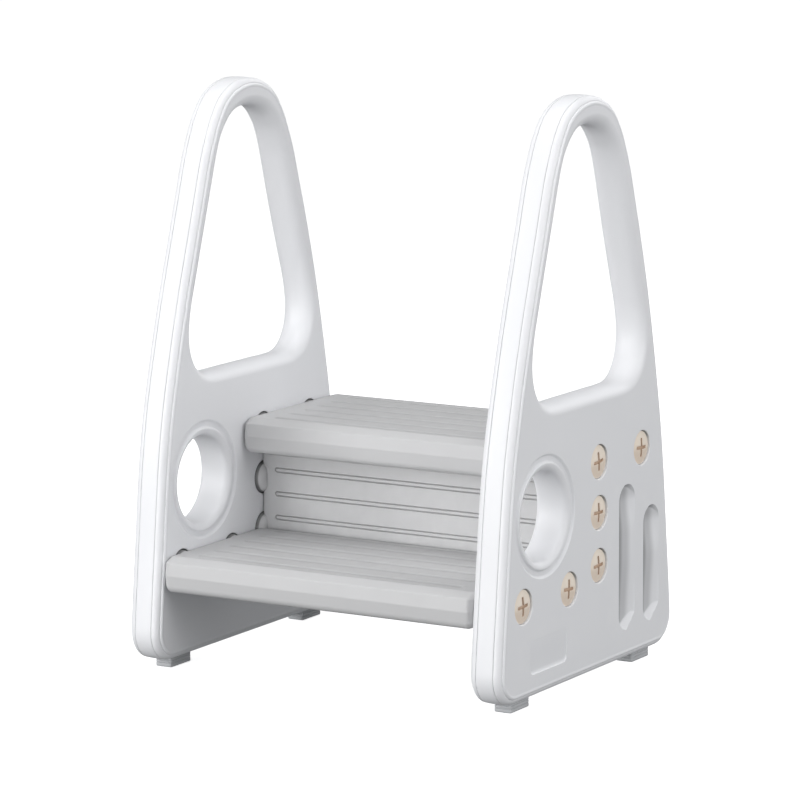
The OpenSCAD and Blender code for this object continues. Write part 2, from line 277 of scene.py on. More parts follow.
def rounded_loop(corners, spacing, turn=10):
    """A closed polygon given as (u, v, corner radius), with its corners rounded.

    turn is the most degrees from one point of a corner to the next.
    """
    points = []
    count = len(corners)
    for i, (u, v, r) in enumerate(corners):
        here = np.array([u, v])
        before = np.array(corners[i - 1][:2]) - here
        after = np.array(corners[(i + 1) % count][:2]) - here
        before /= np.linalg.norm(before)
        after /= np.linalg.norm(after)
        half_angle = math.acos(np.clip(np.dot(before, after), -1, 1)) / 2
        reach = r / math.tan(half_angle)
        centre = (here + (before + after) / np.linalg.norm(before + after)
                  * r / math.sin(half_angle))
        start, end = here + before * reach - centre, here + after * reach - centre
        sweep = math.pi - 2 * half_angle
        steps = max(2, math.ceil(math.degrees(sweep) / turn))
        for k in range(steps + 1):
            t = k / steps
            spoke = (math.sin((1 - t) * sweep) * start
                     + math.sin(t * sweep) * end) / math.sin(sweep)
            points.append(centre + spoke)
    points = [p for k, p in enumerate(points) if np.linalg.norm(p - points[k - 1]) > 0.05]
    filled = []
    for a, b in zip(points, points[1:] + points[:1]):
        pieces = max(1, round(np.linalg.norm(b - a) / spacing))
        filled += [a + (b - a) * k / pieces for k in range(pieces)]
    return np.array(filled)


def rounded_rect(centre, size, r, spacing, turn=10):
    """A clockwise rounded rectangle."""
    u, v = size[0] / 2, size[1] / 2
    signs = [(-1, -1), (-1, 1), (1, 1), (1, -1)]
    return rounded_loop(
        [(centre[0] + a * u, centre[1] + b * v, r) for a, b in signs], spacing, turn
    )


def edge_distance(u, v, centre, size, r):
    """How far a point lies inside a rounded rectangle's edge."""
    du = abs(u - centre[0]) - (size[0] / 2 - r)
    dv = abs(v - centre[1]) - (size[1] / 2 - r)
    outside = math.hypot(max(du, 0), max(dv, 0))
    return r - outside - min(max(du, dv), 0)


def softer_min(a, b, blend):
    """The smaller of two numbers, with a rounded change from one to the other."""
    h = max(blend - abs(a - b), 0) / blend
    return min(a, b) - h * h * blend / 4


# ---------------------------------------------------------------- surfaces

# Points handled at once, and how close to an edge a fill's inner points may come,
# as a part of their spacing
BATCH = 1000
KEEP_OFF = 0.55


class Surface:
    """A closed skin of rings of points, bands between rings, and filled faces."""

    def __init__(self):
        self.points = []
        self.normals = []
        # Painted shade of each point, darker where shade falls in creases, recesses and gaps
        self.painted_shades = []
        self.faces = []

    def ring(self, points, painted_shade=0.0):
        """Adds points, and returns their indices."""
        first = len(self.points)
        self.points += [tuple(float(c) for c in p) for p in points]
        self.normals += [(0.0, 0.0, 0.0)] * len(points)
        self.painted_shades += [painted_shade] * len(points)
        return list(range(first, len(self.points)))

    def band(self, a, b):
        """Faces between two rings of as many points."""
        for i in range(len(a)):
            j = (i + 1) % len(a)
            self.faces.append((a[i], a[j], b[j], b[i]))

    def loft(self, rings, painted_shades=None):
        """Bands between rings of points that match; returns the first and last ring."""
        made = [self.ring(points, c)
                for points, c in zip(rings, painted_shades or [0.0] * len(rings))]
        for a, b in zip(made, made[1:]):
            self.band(a, b)
        return made[0], made[-1]

    def fill(self, rings, axis, height, facing, spacing=14.0):
        """Fills inside the first ring and outside the others, square to an axis.

        height gives the coordinate along the axis from the other two, and the
        normals follow it exactly.
        """
        u, v = [k for k in range(3) if k != axis]
        ring_points = [np.array([self.points[i] for i in r])[:, [u, v]] for r in rings]
        edges = np.concatenate([np.hstack([p, np.roll(p, -1, axis=0)]) for p in ring_points])
        every = np.concatenate(ring_points)
        low, high = ring_points[0].min(0), ring_points[0].max(0)
        counts = [max(2, math.ceil((b - a) / spacing)) for a, b in zip(low, high)]
        grid = np.array([(a, b) for a in np.linspace(low[0], high[0], counts[0])
                         for b in np.linspace(low[1], high[1], counts[1])])
        grid = grid[inside(grid, edges)]
        if len(grid):
            grid = grid[nearest(grid, every) > spacing * KEEP_OFF]
        indices = [i for r in rings for i in r]
        if len(grid):
            added = np.zeros((len(grid), 3))
            added[:, [u, v]] = grid
            added[:, axis] = [height(*g) for g in grid]
            indices += self.ring(added)
        flat = [Vector(p) for p in every] + [Vector(g) for g in grid]
        joins = []
        first = 0
        for p in ring_points:
            joins += [(first + k, first + (k + 1) % len(p)) for k in range(len(p))]
            first += len(p)
        made, _, triangles, origin, _, _ = delaunay_2d_cdt(flat, joins, [], 0, 1e-6)
        middles = np.array([sum((made[k] for k in t), Vector((0, 0))) / 3 for t in triangles])
        for t, keep in zip(triangles, inside(middles, edges)):
            if keep:
                self.faces.append(tuple(indices[origin[k][0]] for k in t))
        self.face_along(indices, axis, height, facing)

    def face_along(self, indices, axis, height, facing):
        """Sets the normals of points that lie on a height function."""
        u, v = [k for k in range(3) if k != axis]
        step = 0.02
        for i in indices:
            a, b = self.points[i][u], self.points[i][v]
            slope_u = (height(a + step, b) - height(a - step, b)) / (2 * step)
            slope_v = (height(a, b + step) - height(a, b - step)) / (2 * step)
            n = [0.0, 0.0, 0.0]
            n[axis], n[u], n[v] = facing, -slope_u * facing, -slope_v * facing
            length = math.sqrt(sum(c * c for c in n))
            self.normals[i] = tuple(c / length for c in n)


def inside(points, edges):
    """Which points lie inside the closed lines, by counting crossings."""
    result = np.zeros(len(points), bool)
    for first in range(0, len(points), BATCH):
        p = points[first:first + BATCH]
        x, y = p[:, :1], p[:, 1:]
        x0, y0, x1, y1 = edges.T
        crosses = (y0 > y) != (y1 > y)
        rise = np.where(y1 == y0, 1.0, y1 - y0)
        hits = crosses & (x < (x1 - x0) * (y - y0) / rise + x0)
        result[first:first + BATCH] = hits.sum(1) % 2 == 1
    return result


def nearest(points, others):
    """Distance from each point to the closest of the others."""
    result = np.zeros(len(points))
    for first in range(0, len(points), BATCH):
        p = points[first:first + BATCH]
        gaps = p[:, None, :] - others[None, :, :]
        result[first:first + BATCH] = np.sqrt((gaps ** 2).sum(2).min(1))
    return result


def level(value):
    """A height function for a flat face."""
    return lambda u, v: value


def turned(surface, at, profile, count):
    """Rings about an X axis through (y, z) = at, from (x, radius) pairs."""
    angles = np.linspace(0, -2 * math.pi, count, endpoint=False)
    return surface.loft([
        [(x, at[0] + r * math.cos(a), at[1] + r * math.sin(a)) for a in angles]
        for x, r in profile
    ])


def fillet(corner, start, end, r):
    """A rounded corner between the directions to start and to end, as points."""
    c = np.array(corner, float)
    a = (np.array(start, float) - c) / np.linalg.norm(np.array(start, float) - c)
    b = (np.array(end, float) - c) / np.linalg.norm(np.array(end, float) - c)
    return [tuple(c + r * ((1 - t) ** 2 * a + t * t * b))
            for t in np.linspace(0, 1, FILLET_STEPS + 1)]


def softened(profile, radii):
    """A profile of (x, radius) corners with its inner corners rounded."""
    soft = [profile[0]]
    for before, corner, after, r in zip(profile, profile[1:], profile[2:], radii):
        soft += fillet(corner, before, after, r)
    return soft + [profile[-1]]


def mirrored_profile(half):
    """A profile of (x, radius or inset) from its half on the +x side."""
    return [(-x, r) for x, r in reversed(half)] + half


def make_piece(name, surface, placed, material, nodes):
    """Turns a surface into a mesh piece that stands for CAD nodes."""
    mesh = bpy.data.meshes.new(name)
    mesh.from_pydata([placed(p) for p in surface.points], [], surface.faces)
    mesh.validate()
    outwards(mesh)
    mesh.shade_smooth()
    origin = placed((0, 0, 0))
    normals = [
        Vector(placed(n)) - Vector(origin) if any(n) else Vector((0, 0, 0))
        for n in surface.normals
    ]
    mesh.normals_split_custom_set_from_vertices([
        n.normalized() if n.length > 0 else n for n in normals
    ])
    store_painted_shade(mesh, surface.painted_shades)
    as_piece(name, mesh, material, nodes)


def store_painted_shade(mesh, values):
    """Painted shade on each point, which the plastics show darker in creases, recesses and gaps.
    """
    layer = mesh.attributes.new("painted_shade", "FLOAT", "POINT")
    layer.data.foreach_set("value", [float(v) for v in values])


def as_piece(name, mesh, material, nodes):
    """Makes a mesh into a piece that rides on the stool's body for its CAD nodes."""
    piece = bpy.data.objects.new(name, mesh)
    bpy.context.scene.collection.objects.link(piece)
    mesh.materials.append(material)
    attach(piece, BODY)
    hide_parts(*nodes)


def outwards(mesh):
    """Turns every face of a closed mesh to the outside."""
    bm = bmesh.new()
    bm.from_mesh(mesh)
    bmesh.ops.recalc_face_normals(bm, faces=bm.faces)
    bm.to_mesh(mesh)
    bm.free()


def in_metres(p):
    """A point in millimetres, as Blender's metres."""
    return (p[0] * MM, p[1] * MM, p[2] * MM)


def on_side(side):
    """Places a panel's own coordinates, x outwards, on the left (-1) or right (1)."""
    return lambda p: (side * (PANEL_X + p[0]) * MM, p[1] * MM, p[2] * MM)


# ---------------------------------------------------------------- materials

def plastic(name, colour, deep, light, painted_shade_colour, roughness, grain, grain_height):
    """Moulded plastic or rubber: slow tint changes, worn edges, painted shade, grain.

    The tint drifts from colour to deep, concave edges get a painted shade of deep,
    edges wear to light, and the painted shade stored per point darkens creases,
    recesses and gaps towards the fourth colour. grain is the scale of a noise, and
    grain_height is in metres.
    """
    material = bpy.data.materials.new(name)
    material.use_nodes = True
    nodes, links = material.node_tree.nodes, material.node_tree.links
    shader = nodes["Principled BSDF"]
    place = nodes.new("ShaderNodeTexCoord")

    def noise(scale, detail, seed_shift):
        """Even noise over the object; the shift keeps one noise unlike the next."""
        moved = nodes.new("ShaderNodeMapping")
        moved.inputs["Location"].default_value = (seed_shift, seed_shift * 0.7, 0.3)
        links.new(place.outputs["Object"], moved.inputs["Vector"])
        node = nodes.new("ShaderNodeTexNoise")
        node.inputs["Scale"].default_value = scale
        node.inputs["Detail"].default_value = detail
        links.new(moved.outputs["Vector"], node.inputs["Vector"])
        return node.outputs["Fac"]

    def spread(value, low, high, to_low, to_high):
        """A value moved from one range to another."""
        node = nodes.new("ShaderNodeMapRange")
        node.inputs["From Min"].default_value = low
        node.inputs["From Max"].default_value = high
        node.inputs["To Min"].default_value = to_low
        node.inputs["To Max"].default_value = to_high
        links.new(value, node.inputs["Value"])
        return node.outputs["Result"]

    def mixed(fac, a, b):
        """The colour between a and b, each of them a colour or an output."""
        node = nodes.new("ShaderNodeMix")
        node.data_type = "RGBA"
        links.new(fac, node.inputs["Factor"])
        for socket, value in (("A", a), ("B", b)):
            target = [i for i in node.inputs if i.name == socket and i.type == "RGBA"][0]
            if isinstance(value, tuple):
                target.default_value = (*value, 1)
            else:
                links.new(value, target)
        return [o for o in node.outputs if o.type == "RGBA"][0]

    cloudy = spread(noise(6, 3, 1.7), 0.3, 0.7, 0.0, 0.35)
    base = mixed(cloudy, colour, deep)
    # Painted shade: concave edges darken towards deep; then convex edges wear towards light
    edge = nodes.new("ShaderNodeNewGeometry").outputs["Pointiness"]
    base = mixed(spread(edge, 0.5, 0.42, 0.0, 0.5), base, deep)
    worn = nodes.new("ShaderNodeMath")
    worn.operation = "MULTIPLY"
    links.new(spread(edge, 0.51, 0.6, 0.0, 1.0), worn.inputs[0])
    links.new(spread(noise(60, 5, 4.1), 0.4, 0.7, 0.1, 0.8), worn.inputs[1])
    base = mixed(worn.outputs["Value"], base, light)
    # Painted shade: the amount stored on each point mixes in the darkest colour
    painted_shade = nodes.new("ShaderNodeAttribute")
    painted_shade.attribute_name = "painted_shade"
    base = mixed(painted_shade.outputs["Fac"], base, painted_shade_colour)
    links.new(base, shader.inputs["Base Color"])
    links.new(spread(noise(38, 5, 9.3), 0.3, 0.7, roughness - 0.05, roughness + 0.06),
              shader.inputs["Roughness"])
    bump = nodes.new("ShaderNodeBump")
    bump.inputs["Strength"].default_value = 1.0
    bump.inputs["Distance"].default_value = grain_height
    links.new(noise(grain, 2, 6.6), bump.inputs["Height"])
    links.new(bump.outputs["Normal"], shader.inputs["Normal"])
    return material


# The fourth colour of each plastic is its painted shade
panel_plastic = plastic(
    "panel_plastic", (0.858, 0.863, 0.883), (0.808, 0.818, 0.845), (0.92, 0.92, 0.93),
    (0.08, 0.08, 0.083), 0.42, 900, 0.00002)
tread_plastic = plastic(
    "tread_plastic", (0.562, 0.562, 0.567), (0.53, 0.53, 0.537), (0.64, 0.64, 0.645),
    (0.05, 0.05, 0.05), 0.48, 1100, 0.00003)
screw_plastic = plastic(
    "screw_plastic", (0.99, 0.89, 0.77), (0.90, 0.78, 0.65), (1.0, 0.93, 0.83),
    (0.40, 0.21, 0.10), 0.4, 1200, 0.00002)
foot_rubber = plastic(
    "foot_rubber", (0.49, 0.50, 0.515), (0.41, 0.42, 0.435), (0.66, 0.67, 0.69),
    (0.05, 0.05, 0.05), 0.62, 1500, 0.00005)


# ---------------------------------------------------------------- side panels

def panel_outline():
    """The panel's outer edge, with straight foot and rounded lower corners."""
    corner = (FOOT_HALF_DEPTH - CORNER_R, PANEL_FOOT + CORNER_R)
    start = arc(corner, CORNER_R, CORNER_START, -CORNER_START, 1)
    guides = [(-27, 595.5), (0, ARCH_TOP), *SIDE_GUIDES, *start]
    half = smooth_run(guides) + arc(corner, CORNER_R, CORNER_START, -90, 16)
    loop = mirrored_loop(half, lambda z: leaning(ARCH_LEAN, z))
    return even_loop(loop, OUTLINE_SPACING)


def handle_opening():
    """The edge of the opening under the handrail."""
    guides = [(-22, 566.5), (0, OPENING_TOP), *OPENING_GUIDES,
              (32, OPENING_BOTTOM), (0, OPENING_BOTTOM)]
    half = smooth_run(guides)
    loop = mirrored_loop(half, lambda z: OPENING_SHIFT + leaning(OPENING_LEAN, z))
    return even_loop(loop, OPENING_SPACING)


def rim_profile():
    """Half of the rim's section: (distance from the middle plane, inset, painted shade)."""
    half = [(x, CROWN_DROP * (x / CROWN_HALF) ** 2, 0.0)
            for x in np.linspace(0, CROWN_HALF, 6)[1:]]
    groove_middle = CROWN_HALF + RIM_GROOVE_HALF
    shoulder_x = groove_middle + RIM_GROOVE_HALF
    # Painted shade in the fine groove and at the bead's foot
    for t in np.linspace(-1, 1, 9)[1:-1]:
        dip = (1 + math.cos(math.pi * t)) / 2
        half.append((groove_middle + t * RIM_GROOVE_HALF,
                     CROWN_DROP + 0.05 * (t + 1) + RIM_GROOVE_DEPTH * dip, RIM_PAINTED_SHADE * dip))
    across, inwards, end_angle = SHOULDER
    for t in np.radians(np.linspace(0, end_angle, 13)):
        half.append((shoulder_x + across * math.sin(t),
                     CROWN_DROP + 0.1 + inwards * (1 - math.cos(t)), 0.0))
    foot_x, foot_in = BEAD_FOOT
    for t in np.linspace(0, 90, 9):
        a = math.radians(t)
        half.append((foot_x + (HALF_T - foot_x) * math.sin(a),
                     foot_in + (BEAD_CREST_IN - foot_in) * (1 - math.cos(a)),
                     BEAD_PAINTED_SHADE if t == 0 else 0.0))
    for t in np.linspace(0, 1, 7)[1:]:
        half.append((FACE + (HALF_T - FACE) * (1 + math.cos(math.pi * t)) / 2,
                     BEAD_CREST_IN + (BEAD_END_IN - BEAD_CREST_IN) * t, 0.0))
    return half


def opening_profile():
    """Half of the section round the handle opening: (distance, inset)."""
    return [(THROAT_HALF + (FACE - THROAT_HALF) * math.sin(t), ROUNDING_IN * (1 - math.cos(t)))
            for t in np.radians(np.linspace(0, 90, 15))]


def both_halves(half):
    """The rim's whole section, with its middle point, from its half."""
    return [(-x, e, c) for x, e, c in reversed(half)] + [(0.0, 0.0, 0.0)] + list(half)


def porthole_profile():
    """Half of the section round the porthole: (distance, radius)."""
    half = [(PORTHOLE_THROAT_HALF, PORTHOLE_R)]
    for a in np.radians(np.linspace(0, 90, 15)):
        half.append((FACE - LIP_R + LIP_R * math.sin(a), PORTHOLE_R + LIP_R * (1 - math.cos(a))))
    crest = PORTHOLE_R + LIP_R
    for t in np.linspace(0, 1, 7)[1:]:
        half.append((FACE - RING_DEPTH * ease(t), crest + (RING_FLOOR[0] - crest) * t))
    for t in np.linspace(0, 1, 9):
        half.append((FACE - RING_DEPTH * (1 - ease(t)),
                     RING_FLOOR[1] + (RING_R - RING_FLOOR[1]) * t))
    return half


def slot_shape(slot):
    """An upright recess: its outline, its depth and its painted shade.

    It is deep along its front wall and comes out level with the face behind.
    A flat ramp closes its lower end, and its upper end is a softer hollow.
    """
    front, bottom, top = slot
    centre = (front + SLOT_W / 2, (bottom + top) / 2)
    size = (SLOT_W, top - bottom)
    radius = SLOT_W / 2 - 0.01
    lower_from, lower_over = SLOT_LOWER_END
    upper_from, upper_over = SLOT_UPPER_END
    ramp_up, ramp_back, ramp_start = SLOT_RAMP

    def floor_and_ramp(y, z):
        """Depth of the slot's floor, and of the ramp that closes its lower end."""
        s = min(1.0, max(0.0, (y - front) / SLOT_W))
        near_end = float(max(ease((bottom + lower_from - z) / lower_over),
                             ease((z - (top - upper_from)) / upper_over)))
        side = SLOT_DEPTH * (1 - s) ** 2
        end = (SLOT_END_DEPTH - SLOT_END_FALL * s) * (1 - s ** 8)
        ramp = ramp_up * (z - bottom) - ramp_back * (y - centre[0]) - ramp_start
        return side + (end - side) * near_end, ramp

    def depth(y, z):
        """Depth below the face: the least of floor, ramp and wall, blended."""
        floor, ramp = floor_and_ramp(y, z)
        across, up = (y - centre[0]) / radius, (z - (top - radius)) / radius
        steepness = SLOT_WALL
        if up > 0:
            steepness -= SLOT_WALL_EASED * float(ease(0.5 * across + 0.86 * up))
        wall = steepness * max(0.0, edge_distance(y, z, centre, size, radius))
        return max(0.0, softer_min(softer_min(floor, ramp, 0.2), wall, 0.5))

    def painted_shade(y, z):
        """Painted shade along the front wall, painted shadow at the top, and none on the ramp.
        """
        s = (y - front) / SLOT_W
        floor, ramp = floor_and_ramp(y, z)
        deep = sum(dark * (1 - ease((s - start) / over)) for dark, start, over in SLOT_PAINTED_SHADES)
        dark, below_top, over = SLOT_TOP_PAINTED_SHADOW
        high = dark * ease((z - (top - below_top)) / over)
        return float(max(0.0, deep + high) * ease((ramp - floor) / 0.8))

    return centre, size, radius, depth, painted_shade


def label_depth(y, z):
    """The label recess is deeper along its lower edge."""
    lower = LABEL[1] - LABEL_SIZE[1] / 2
    floor = LABEL_DEPTH - LABEL_RISE * float(ease((z - lower) / LABEL_SIZE[1]))
    wall = LABEL_WALL * max(0.0, edge_distance(y, z, LABEL, LABEL_SIZE, LABEL_R))
    return max(0.0, softer_min(floor, wall, 0.2))


def dish(skin, centre, size, radius, depth, painted_shade, insets, spacing):
    """A recess of varying depth in a panel's outer face; returns its edge ring."""
    height = lambda y, z: FACE - depth(y, z)
    edge = rounded_rect(centre, size, radius, 1.5, 6)
    rings = [skin.ring([(height(*p) if d else FACE, *p) for p in inset(edge, d)])
             for d in insets]
    for a, b in zip(rings, rings[1:]):
        skin.band(a, b)
        skin.face_along(b, 0, height, 1)
    skin.fill([rings[-1]], 0, height, 1, spacing)
    # Painted shade of the recess's inner points
    for i in range(rings[0][-1] + 1, len(skin.points)):
        skin.painted_shades[i] = painted_shade(*skin.points[i][1:])
    return rings[0]


def side_panel_skin(screw_axes):
    """A panel about its own middle plane, with its outer face towards +x."""
    skin = Surface()
    outline, opening = panel_outline(), handle_opening()
    rim = both_halves(rim_profile())
    edges = [skin.loft([[(x, *p) for p in inset(outline, e)] for x, e, _ in rim],
                       [c for _, _, c in rim])]
    edges.append(skin.loft([[(x, *p) for p in inset(opening, -e)]
                            for x, e in mirrored_profile(opening_profile())]))
    edges.append(turned(skin, PORTHOLE, mirrored_profile(porthole_profile()), 128))
    for at in screw_axes:
        seat = softened(
            [(-FACE, SOCKET_R + 3), (-FACE, SOCKET_R), (SOCKET_FLOOR, SOCKET_R),
             (SOCKET_FLOOR, HOLE_R), (POCKET_FLOOR, HOLE_R), (POCKET_FLOOR, POCKET_R),
             (FACE, POCKET_R), (FACE, POCKET_R + 3)],
            [SEAT_FILLET, SEAT_FLOOR_FILLET, HOLE_FILLET,
             HOLE_FILLET, SEAT_FLOOR_FILLET, SEAT_FILLET])
        first = len(skin.points)
        edges.append(turned(skin, at, seat[1:-1], 72))
        # Painted shade in the socket round the boss, and painted shadow under the pocket's upper
        # edge
        for i in range(first, len(skin.points)):
            x, _, z = skin.points[i]
            if -FACE + 0.9 < x < SOCKET_FLOOR + 0.5:
                skin.painted_shades[i] = SOCKET_PAINTED_SHADE
            elif POCKET_FLOOR < x < FACE - 0.6:
                skin.painted_shades[i] = POCKET_PAINTED_SHADOW * float(ease((z - at[1] - 5) / 8))
    outer = [last for _, last in edges]
    inner = [first for first, _ in edges]
    for slot in SLOTS:
        outer.append(dish(skin, *slot_shape(slot),
                          [0, 0.12, 0.25, 0.4, 0.6, 0.85, 1.15, 1.5, 1.9, 2.4], 1.1))
    outer.append(dish(skin, LABEL, LABEL_SIZE, LABEL_R, label_depth, level(0.0),
                      [0, 0.12, 0.25, 0.4, 0.6, 0.9, 1.4], 3))
    skin.fill(outer, 0, level(FACE), 1)
    skin.fill(inner, 0, level(-FACE), -1)
    return skin


# ---------------------------------------------------------------- booleans

def shell(name, surface):
    """A closed mesh object for joining to or cutting from another."""
    mesh = bpy.data.meshes.new(name)
    mesh.from_pydata([in_metres(p) for p in surface.points], [], surface.faces)
    outwards(mesh)
    made = bpy.data.objects.new(name, mesh)
    bpy.context.scene.collection.objects.link(made)
    return made


def combined(base, others):
    """The base with other shells joined or cut, as one clean mesh."""
    for other, operation in others:
        change = base.modifiers.new(operation.lower(), "BOOLEAN")
        change.object = other
        change.operation = operation
        change.solver = "EXACT"
    bpy.context.view_layer.update()
    graph = bpy.context.evaluated_depsgraph_get()
    mesh = bpy.data.meshes.new_from_object(base.evaluated_get(graph))
    for used in [base, *[other for other, _ in others]]:
        data = used.data
        bpy.data.objects.remove(used)
        bpy.data.meshes.remove(data)
    mesh.materials.clear()
    mesh.shade_smooth()
    mesh.set_sharp_from_angle(angle=math.radians(32))
    return mesh


def bars(axes, profile, count=64):
    """The same turned shape on both ends of the stool, on each of the axes."""
    surface = Surface()
    for side in (-1, 1):
        for at in axes:
            first, last = turned(surface, at, [(side * x, r) for x, r in profile], count)
            for ring, x in ((first, profile[0][0]), (last, profile[-1][0])):
                surface.fill([ring], 0, level(side * x), 1)
    return surface


def with_bosses(name, base, axes):
    """Round bosses on both ends, each with the bore of its screw."""
    tip = TREAD_HALF + PANEL_GAP + BOSS_INTO_PANEL
    shoulder, shoulder_r = 7.0, 8.0
    boss = [(TREAD_HALF - 1 - shoulder * math.sin(a),
             BOSS_NECK_R - shoulder_r * (1 - math.cos(a)))
            for a in np.radians(np.linspace(90, 0, 10))]
    boss += [(TREAD_HALF + PANEL_GAP + 1, BOSS_R), (tip - 0.8, BOSS_R),
             (tip - 0.25, BOSS_R - 0.25), (tip, BOSS_R - 0.8)]
    bore_end = PANEL_X + POCKET_FLOOR - SHANK - 2
    bore = [(bore_end, THREAD_R + BORE_GAP), (tip + 1, THREAD_R + BORE_GAP)]
    return combined(base, [(shell(name + "_bosses", bars(axes, boss)), "UNION"),
                           (shell(name + "_bores", bars(axes, bore, 32)), "DIFFERENCE")])


def boss_painted_shade(x, y, z, axes):
    """Painted shade in the gap where a boss goes into its panel's socket."""
    if abs(x) < TREAD_HALF - 1.2:
        return 0.0
    off = min(math.hypot(y - u, z - v) for u, v in axes)
    return BOSS_PAINTED_SHADE if BOSS_NECK_R - 1 < off < BOSS_R + 0.1 else 0.0


# ---------------------------------------------------------------- treads

def tread_section():
    """Clockwise section about the front edge and the top: (depth, height, radius)."""
    return [
        (0.0, -18.5, 0.35), (2.0, -5.0, 2.2), (14.0, 0.0, 4.0),
        (TREAD_DEPTH, 0.0, 8.0), (TREAD_DEPTH, -TREAD_T, 8.0), (1.8, -TREAD_T, 8.0),
    ]


def groove_at(y, first):
    """Depth of the grip grooves at a distance behind the tread's front edge."""
    nearest_one = min(GROOVE_COUNT - 1, max(0, round((y - first) / GROOVE_PITCH)))
    off = abs(y - first - nearest_one * GROOVE_PITCH)
    if off >= GROOVE_R:
        return 0.0
    return max(0.0, GROOVE_DEPTH - GROOVE_R + math.sqrt(GROOVE_R ** 2 - off ** 2))


def grip_fade(x):
    """1 along the grip grooves, and 0 beyond their ends."""
    return float(ease((GRIP_END + 1 - abs(x)) / GRIP_RUN_OUT))


def tread_mesh(node, axes):
    """A tread with its grip grooves, rounded ends and bosses."""
    low, _ = box_mm(node)
    front, top = low.y, low.z + TREAD_T
    middle = np.array([TREAD_DEPTH / 2, -TREAD_T / 2])
    section = rounded_loop(tread_section(), 0.9)
    end_in_depth, end_in_below, end_in_above, end_run = 9.0, 8.0, 3.0, 8.0
    stations = [(TREAD_HALF - end_run * (1 - math.sin(a)), 1 - math.cos(a))
                for a in np.radians(np.linspace(90, 0, 11))]
    for start, end, count in ((TREAD_HALF - end_run - 3, GRIP_END + 4, 5),
                              (GRIP_END + 1.5, GRIP_END - 3.5, 9), (GRIP_END - 12, 0, 9)):
        stations += [(x, 0.0) for x in np.linspace(start, end, count)]
    stations += [(-x, e) for x, e in reversed(stations[:-1])]
    rings = []
    for x, e in stations:
        cut = grip_fade(x)
        ring = []
        for y, z in section:
            depth = groove_at(y, GROOVE_FIRST[node]) * cut if z > -1e-6 else 0.0
            part_y = (y - middle[0]) / middle[0]
            part_z = (z - middle[1]) / -middle[1]
            end_in = end_in_above if part_z > 0 else end_in_below
            ring.append((x, front + y - e * end_in_depth * part_y,
                         top + z - depth - e * end_in * part_z))
        rings.append(ring)
    skin = Surface()
    first, last = skin.loft(rings)
    skin.fill([first], 0, level(TREAD_HALF), 1)
    skin.fill([last], 0, level(-TREAD_HALF), -1)
    mesh = with_bosses(node, shell(node + "_body", skin), axes)
    # Painted shade in the grip grooves and round the bosses
    painted_shades = []
    for v in mesh.vertices:
        x, y, z = v.co / MM
        sunk = groove_at(y - front, GROOVE_FIRST[node]) / GROOVE_DEPTH if z > top - 2 else 0.0
        painted_shades.append(max(GRIP_PAINTED_SHADE * sunk * grip_fade(x), boss_painted_shade(x, y, z, axes)))
    store_painted_shade(mesh, painted_shades)
    return mesh


# ---------------------------------------------------------------- riser

def riser_mesh(axes):
    """The board between the treads, with pill-shaped grooves and bosses."""
    low, high = box_mm("riser_board")
    front = axes[0][0] - RISER_BEFORE_AXIS
    centre = (0.0, (low.z + high.z) / 2)
    size = (2 * TREAD_HALF, high.z - low.z)
    outline = rounded_rect(centre, size, 5.0, 4.0)
    side_in, top_in, edge_depth = 11.0, 3.5, 5.5
    skin = Surface()
    turn = [(edge_depth * (1 - math.sin(a)), 1 - math.cos(a))
            for a in np.radians(np.linspace(90, 0, 12))]
    levels = [(front + y, e) for y, e in turn]
    levels += [(front + RISER_T - y, e) for y, e in reversed(turn)]
    first, last = skin.loft([
        [(u * (1 - 2 * e * side_in / size[0]), y,
          centre[1] + (v - centre[1]) * (1 - 2 * e * top_in / size[1])) for u, v in outline]
        for y, e in levels
    ])
    face = [first]
    for z in PILL_HEIGHTS:
        pill = rounded_rect((0.0, z), (2 * (TREAD_HALF - PILL_END), PILL_H),
                            PILL_H / 2 - 0.01, 6.0)
        channel = [(PILL_DEPTH * (1 - math.cos(2 * math.pi * t)) / 2, PILL_GROOVE * t)
                   for t in np.linspace(0, 1, 9)]
        edge, inner = skin.loft([[(p[0], front + d, p[1]) for p in inset(pill, e)]
                                 for d, e in channel])
        skin.fill([inner], 1, level(front), -1, 6.0)
        face.append(edge)
    skin.fill(face, 1, level(front), -1, 10.0)
    skin.fill([last], 1, level(front + RISER_T), 1, 10.0)
    mesh = with_bosses("riser_board", shell("riser_body", skin), axes)
    flat_half = size[0] / 2 - side_in
    # Painted shade in the pill grooves and round the bosses
    painted_shades = []
    for v in mesh.vertices:
        x, y, z = v.co / MM
        in_channel = abs(x) < flat_half and y < front + PILL_DEPTH + 0.1
        painted_shades.append(PILL_PAINTED_SHADE * float(ease((y - front) / PILL_DEPTH)) if in_channel
                        else boss_painted_shade(x, y, z, axes))
    store_painted_shade(mesh, painted_shades)
    return mesh


# ---------------------------------------------------------------- screws

def cross_outline():
    """Clockwise plus sign with slightly rounded corners."""
    arm, half = CROSS_LENGTH / 2, CROSS_W / 2
    quarter = [(half, arm, 1.2), (half, half, 0.6), (arm, half, 1.2)]
    corners = []
    for k in range(4):
        c, s = math.cos(math.pi / 2 * k), math.sin(math.pi / 2 * k)
        corners += [(u * c + v * s, v * c - u * s, r) for u, v, r in quarter]
    return rounded_loop(corners, 1.0, 15)


